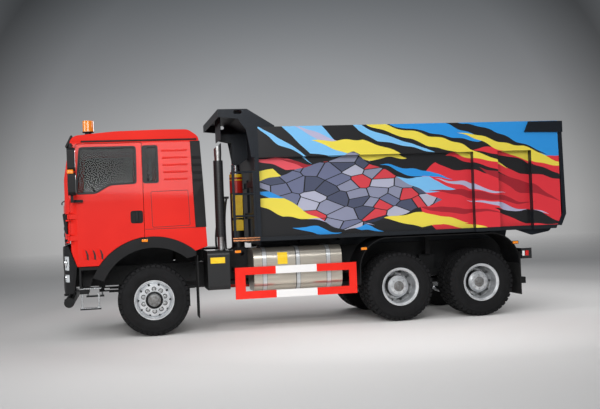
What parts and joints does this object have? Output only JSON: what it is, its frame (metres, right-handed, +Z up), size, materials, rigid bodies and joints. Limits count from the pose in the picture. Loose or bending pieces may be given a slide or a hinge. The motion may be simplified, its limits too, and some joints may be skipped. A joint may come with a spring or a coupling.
{
  "type": "dump truck",
  "caption": "Three-axle dump truck with opening cab doors, twin rear wheels, a long tipping bed with a swinging tailgate and a telescopic front hoist behind the cab.",
  "frame": {"origin": "on the ground below the middle of the truck's box", "axes": "+X forward, +Y to the truck's left, +Z up"},
  "size_m": [8.054, 3.02, 3.38],
  "materials": {
    "black_steel": "satin black paint",
    "cast_grey": "painted casting",
    "black_plastic": "grained black moulding",
    "lamp_lens": "clear, amber and red lenses",
    "tank_aluminium": "brushed",
    "guard_paint": "gloss red and white bands",
    "rubber": "matt",
    "cab_paint": "gloss orange red",
    "window_glass": "tinted",
    "seat_fabric": "woven",
    "wheel_silver": "silver paint",
    "tyre_rubber": "matt",
    "bed_paint": "dark slate paint with a coloured livery on the sides",
    "hoist_paint": "red with yellow bands",
    "hoist_chrome": "ground and plated"
  },
  "bodies": {
    "chassis": {"frame_rails": "black_steel", "crossmembers": "black_steel", "subframe": "black_steel", "front_axle": "cast_grey", "drive_axles": "cast_grey", "leaf_springs": "black_steel", "driveline": "cast_grey", "cab_mounts": "black_steel", "bumper": "black_plastic", "lamps": "lamp_lens", "front_underrun": "black_steel", "entry_steps": "black_plastic", "fuel_tank": "tank_aluminium", "side_guards": "guard_paint", "exhaust": "black_steel", "battery_box": "black_steel", "rear_mudguards": "black_plastic", "mudflaps": "rubber", "rear_underrun": "black_steel", "cab_floor": "cab_paint", "cab_back_panel": "cab_paint", "cab_roof": "cab_paint", "cab_front": "cab_paint", "cab_sides": "cab_paint", "cab_glass": "window_glass", "cab_mouldings": "black_plastic", "dashboard": "black_plastic", "seats": "seat_fabric"},
    "left_door": {"door_left": "cab_paint", "door_glass_left": "window_glass", "mirror_left": "black_plastic"},
    "right_door": {"door_right": "cab_paint", "door_glass_right": "window_glass", "mirror_right": "black_plastic"},
    "left_knuckle": {"knuckle_left": "cast_grey"},
    "right_knuckle": {"knuckle_right": "cast_grey"},
    "front_left_wheel": {"front_wheel_left": "wheel_silver", "front_tyre_left": "tyre_rubber"},
    "front_right_wheel": {"front_wheel_right": "wheel_silver", "front_tyre_right": "tyre_rubber"},
    "mid_left_wheels": {"mid_wheel_left": "wheel_silver", "mid_tyres_left": "tyre_rubber"},
    "mid_right_wheels": {"mid_wheel_right": "wheel_silver", "mid_tyres_right": "tyre_rubber"},
    "rear_left_wheels": {"rear_wheel_left": "wheel_silver", "rear_tyres_left": "tyre_rubber"},
    "rear_right_wheels": {"rear_wheel_right": "wheel_silver", "rear_tyres_right": "tyre_rubber"},
    "bed": {"bed_floor": "bed_paint", "bed_sides": "bed_paint", "bed_front": "bed_paint", "cab_shield": "bed_paint", "ladder": "bed_paint"},
    "gate": {"tailgate": "bed_paint"},
    "hoist_barrel": {"hoist_tube": "hoist_paint"},
    "hoist_first": {"hoist_stage_1": "hoist_chrome"},
    "hoist_second": {"hoist_stage_2": "hoist_chrome"},
    "hoist_third": {"hoist_stage_3": "hoist_chrome"}
  },
  "joints": [
    {"name": "steer_left", "type": "hinge", "parent": "chassis", "child": "left_knuckle", "pos_m": [2.65, 0.84, 0.54], "axis": [0, 0, 1], "range_deg": [-38, 38]},
    {"name": "steer_right", "type": "hinge", "parent": "chassis", "child": "right_knuckle", "pos_m": [2.65, -0.84, 0.54], "axis": [0, 0, 1], "range_deg": [-38, 38]},
    {"name": "front_left_spin", "type": "hinge", "parent": "left_knuckle", "child": "front_left_wheel", "pos_m": [2.65, 1.01, 0.54], "axis": [0, 1, 0], "continuous": true},
    {"name": "front_right_spin", "type": "hinge", "parent": "right_knuckle", "child": "front_right_wheel", "pos_m": [2.65, -1.01, 0.54], "axis": [0, 1, 0], "continuous": true},
    {"name": "mid_left_spin", "type": "hinge", "parent": "chassis", "child": "mid_left_wheels", "pos_m": [-1.175, 0.915, 0.54], "axis": [0, 1, 0], "continuous": true},
    {"name": "mid_right_spin", "type": "hinge", "parent": "chassis", "child": "mid_right_wheels", "pos_m": [-1.175, -0.915, 0.54], "axis": [0, 1, 0], "continuous": true},
    {"name": "rear_left_spin", "type": "hinge", "parent": "chassis", "child": "rear_left_wheels", "pos_m": [-2.525, 0.915, 0.54], "axis": [0, 1, 0], "continuous": true},
    {"name": "rear_right_spin", "type": "hinge", "parent": "chassis", "child": "rear_right_wheels", "pos_m": [-2.525, -0.915, 0.54], "axis": [0, 1, 0], "continuous": true},
    {"name": "door_left", "type": "hinge", "parent": "chassis", "child": "left_door", "pos_m": [3.855, 1.218, 1.5], "axis": [0, 0, -1], "range_deg": [0, 70]},
    {"name": "door_right", "type": "hinge", "parent": "chassis", "child": "right_door", "pos_m": [3.855, -1.218, 1.5], "axis": [0, 0, 1], "range_deg": [0, 70]},
    {"name": "bed_tip", "type": "hinge", "parent": "chassis", "child": "bed", "pos_m": [-3.25, 0, 1.18], "axis": [0, -1, 0], "range_deg": [0, 48]},
    {"name": "tailgate_swing", "type": "hinge", "parent": "bed", "child": "gate", "pos_m": [-3.47, 0, 3.01], "axis": [0, 1, 0], "range_deg": [0, 60]},
    {"name": "hoist_lean", "type": "hinge", "parent": "chassis", "child": "hoist_barrel", "pos_m": [1.21, 0, 1.15], "axis": [0, -1, 0], "range_deg": [0, 30.7]},
    {"name": "hoist_slide_1", "type": "slide", "parent": "hoist_barrel", "child": "hoist_first", "axis": [0, 0, 1], "range_m": [0, 1.1782]},
    {"name": "hoist_slide_2", "type": "slide", "parent": "hoist_first", "child": "hoist_second", "axis": [0, 0, 1], "range_m": [0, 1.1782]},
    {"name": "hoist_slide_3", "type": "slide", "parent": "hoist_second", "child": "hoist_third", "axis": [0, 0, 1], "range_m": [0, 1.1782]}
  ],
  "couplings": [
    {"joint": "steer_right", "follows": "steer_left", "ratio": 1},
    {"joint": "hoist_lean", "follows": "bed_tip", "ratio": 0.63853},
    {"joint": "hoist_slide_1", "follows": "bed_tip", "m_per_rad": 1.4058},
    {"joint": "hoist_slide_2", "follows": "bed_tip", "m_per_rad": 1.4058},
    {"joint": "hoist_slide_3", "follows": "bed_tip", "m_per_rad": 1.4058}
  ]
}
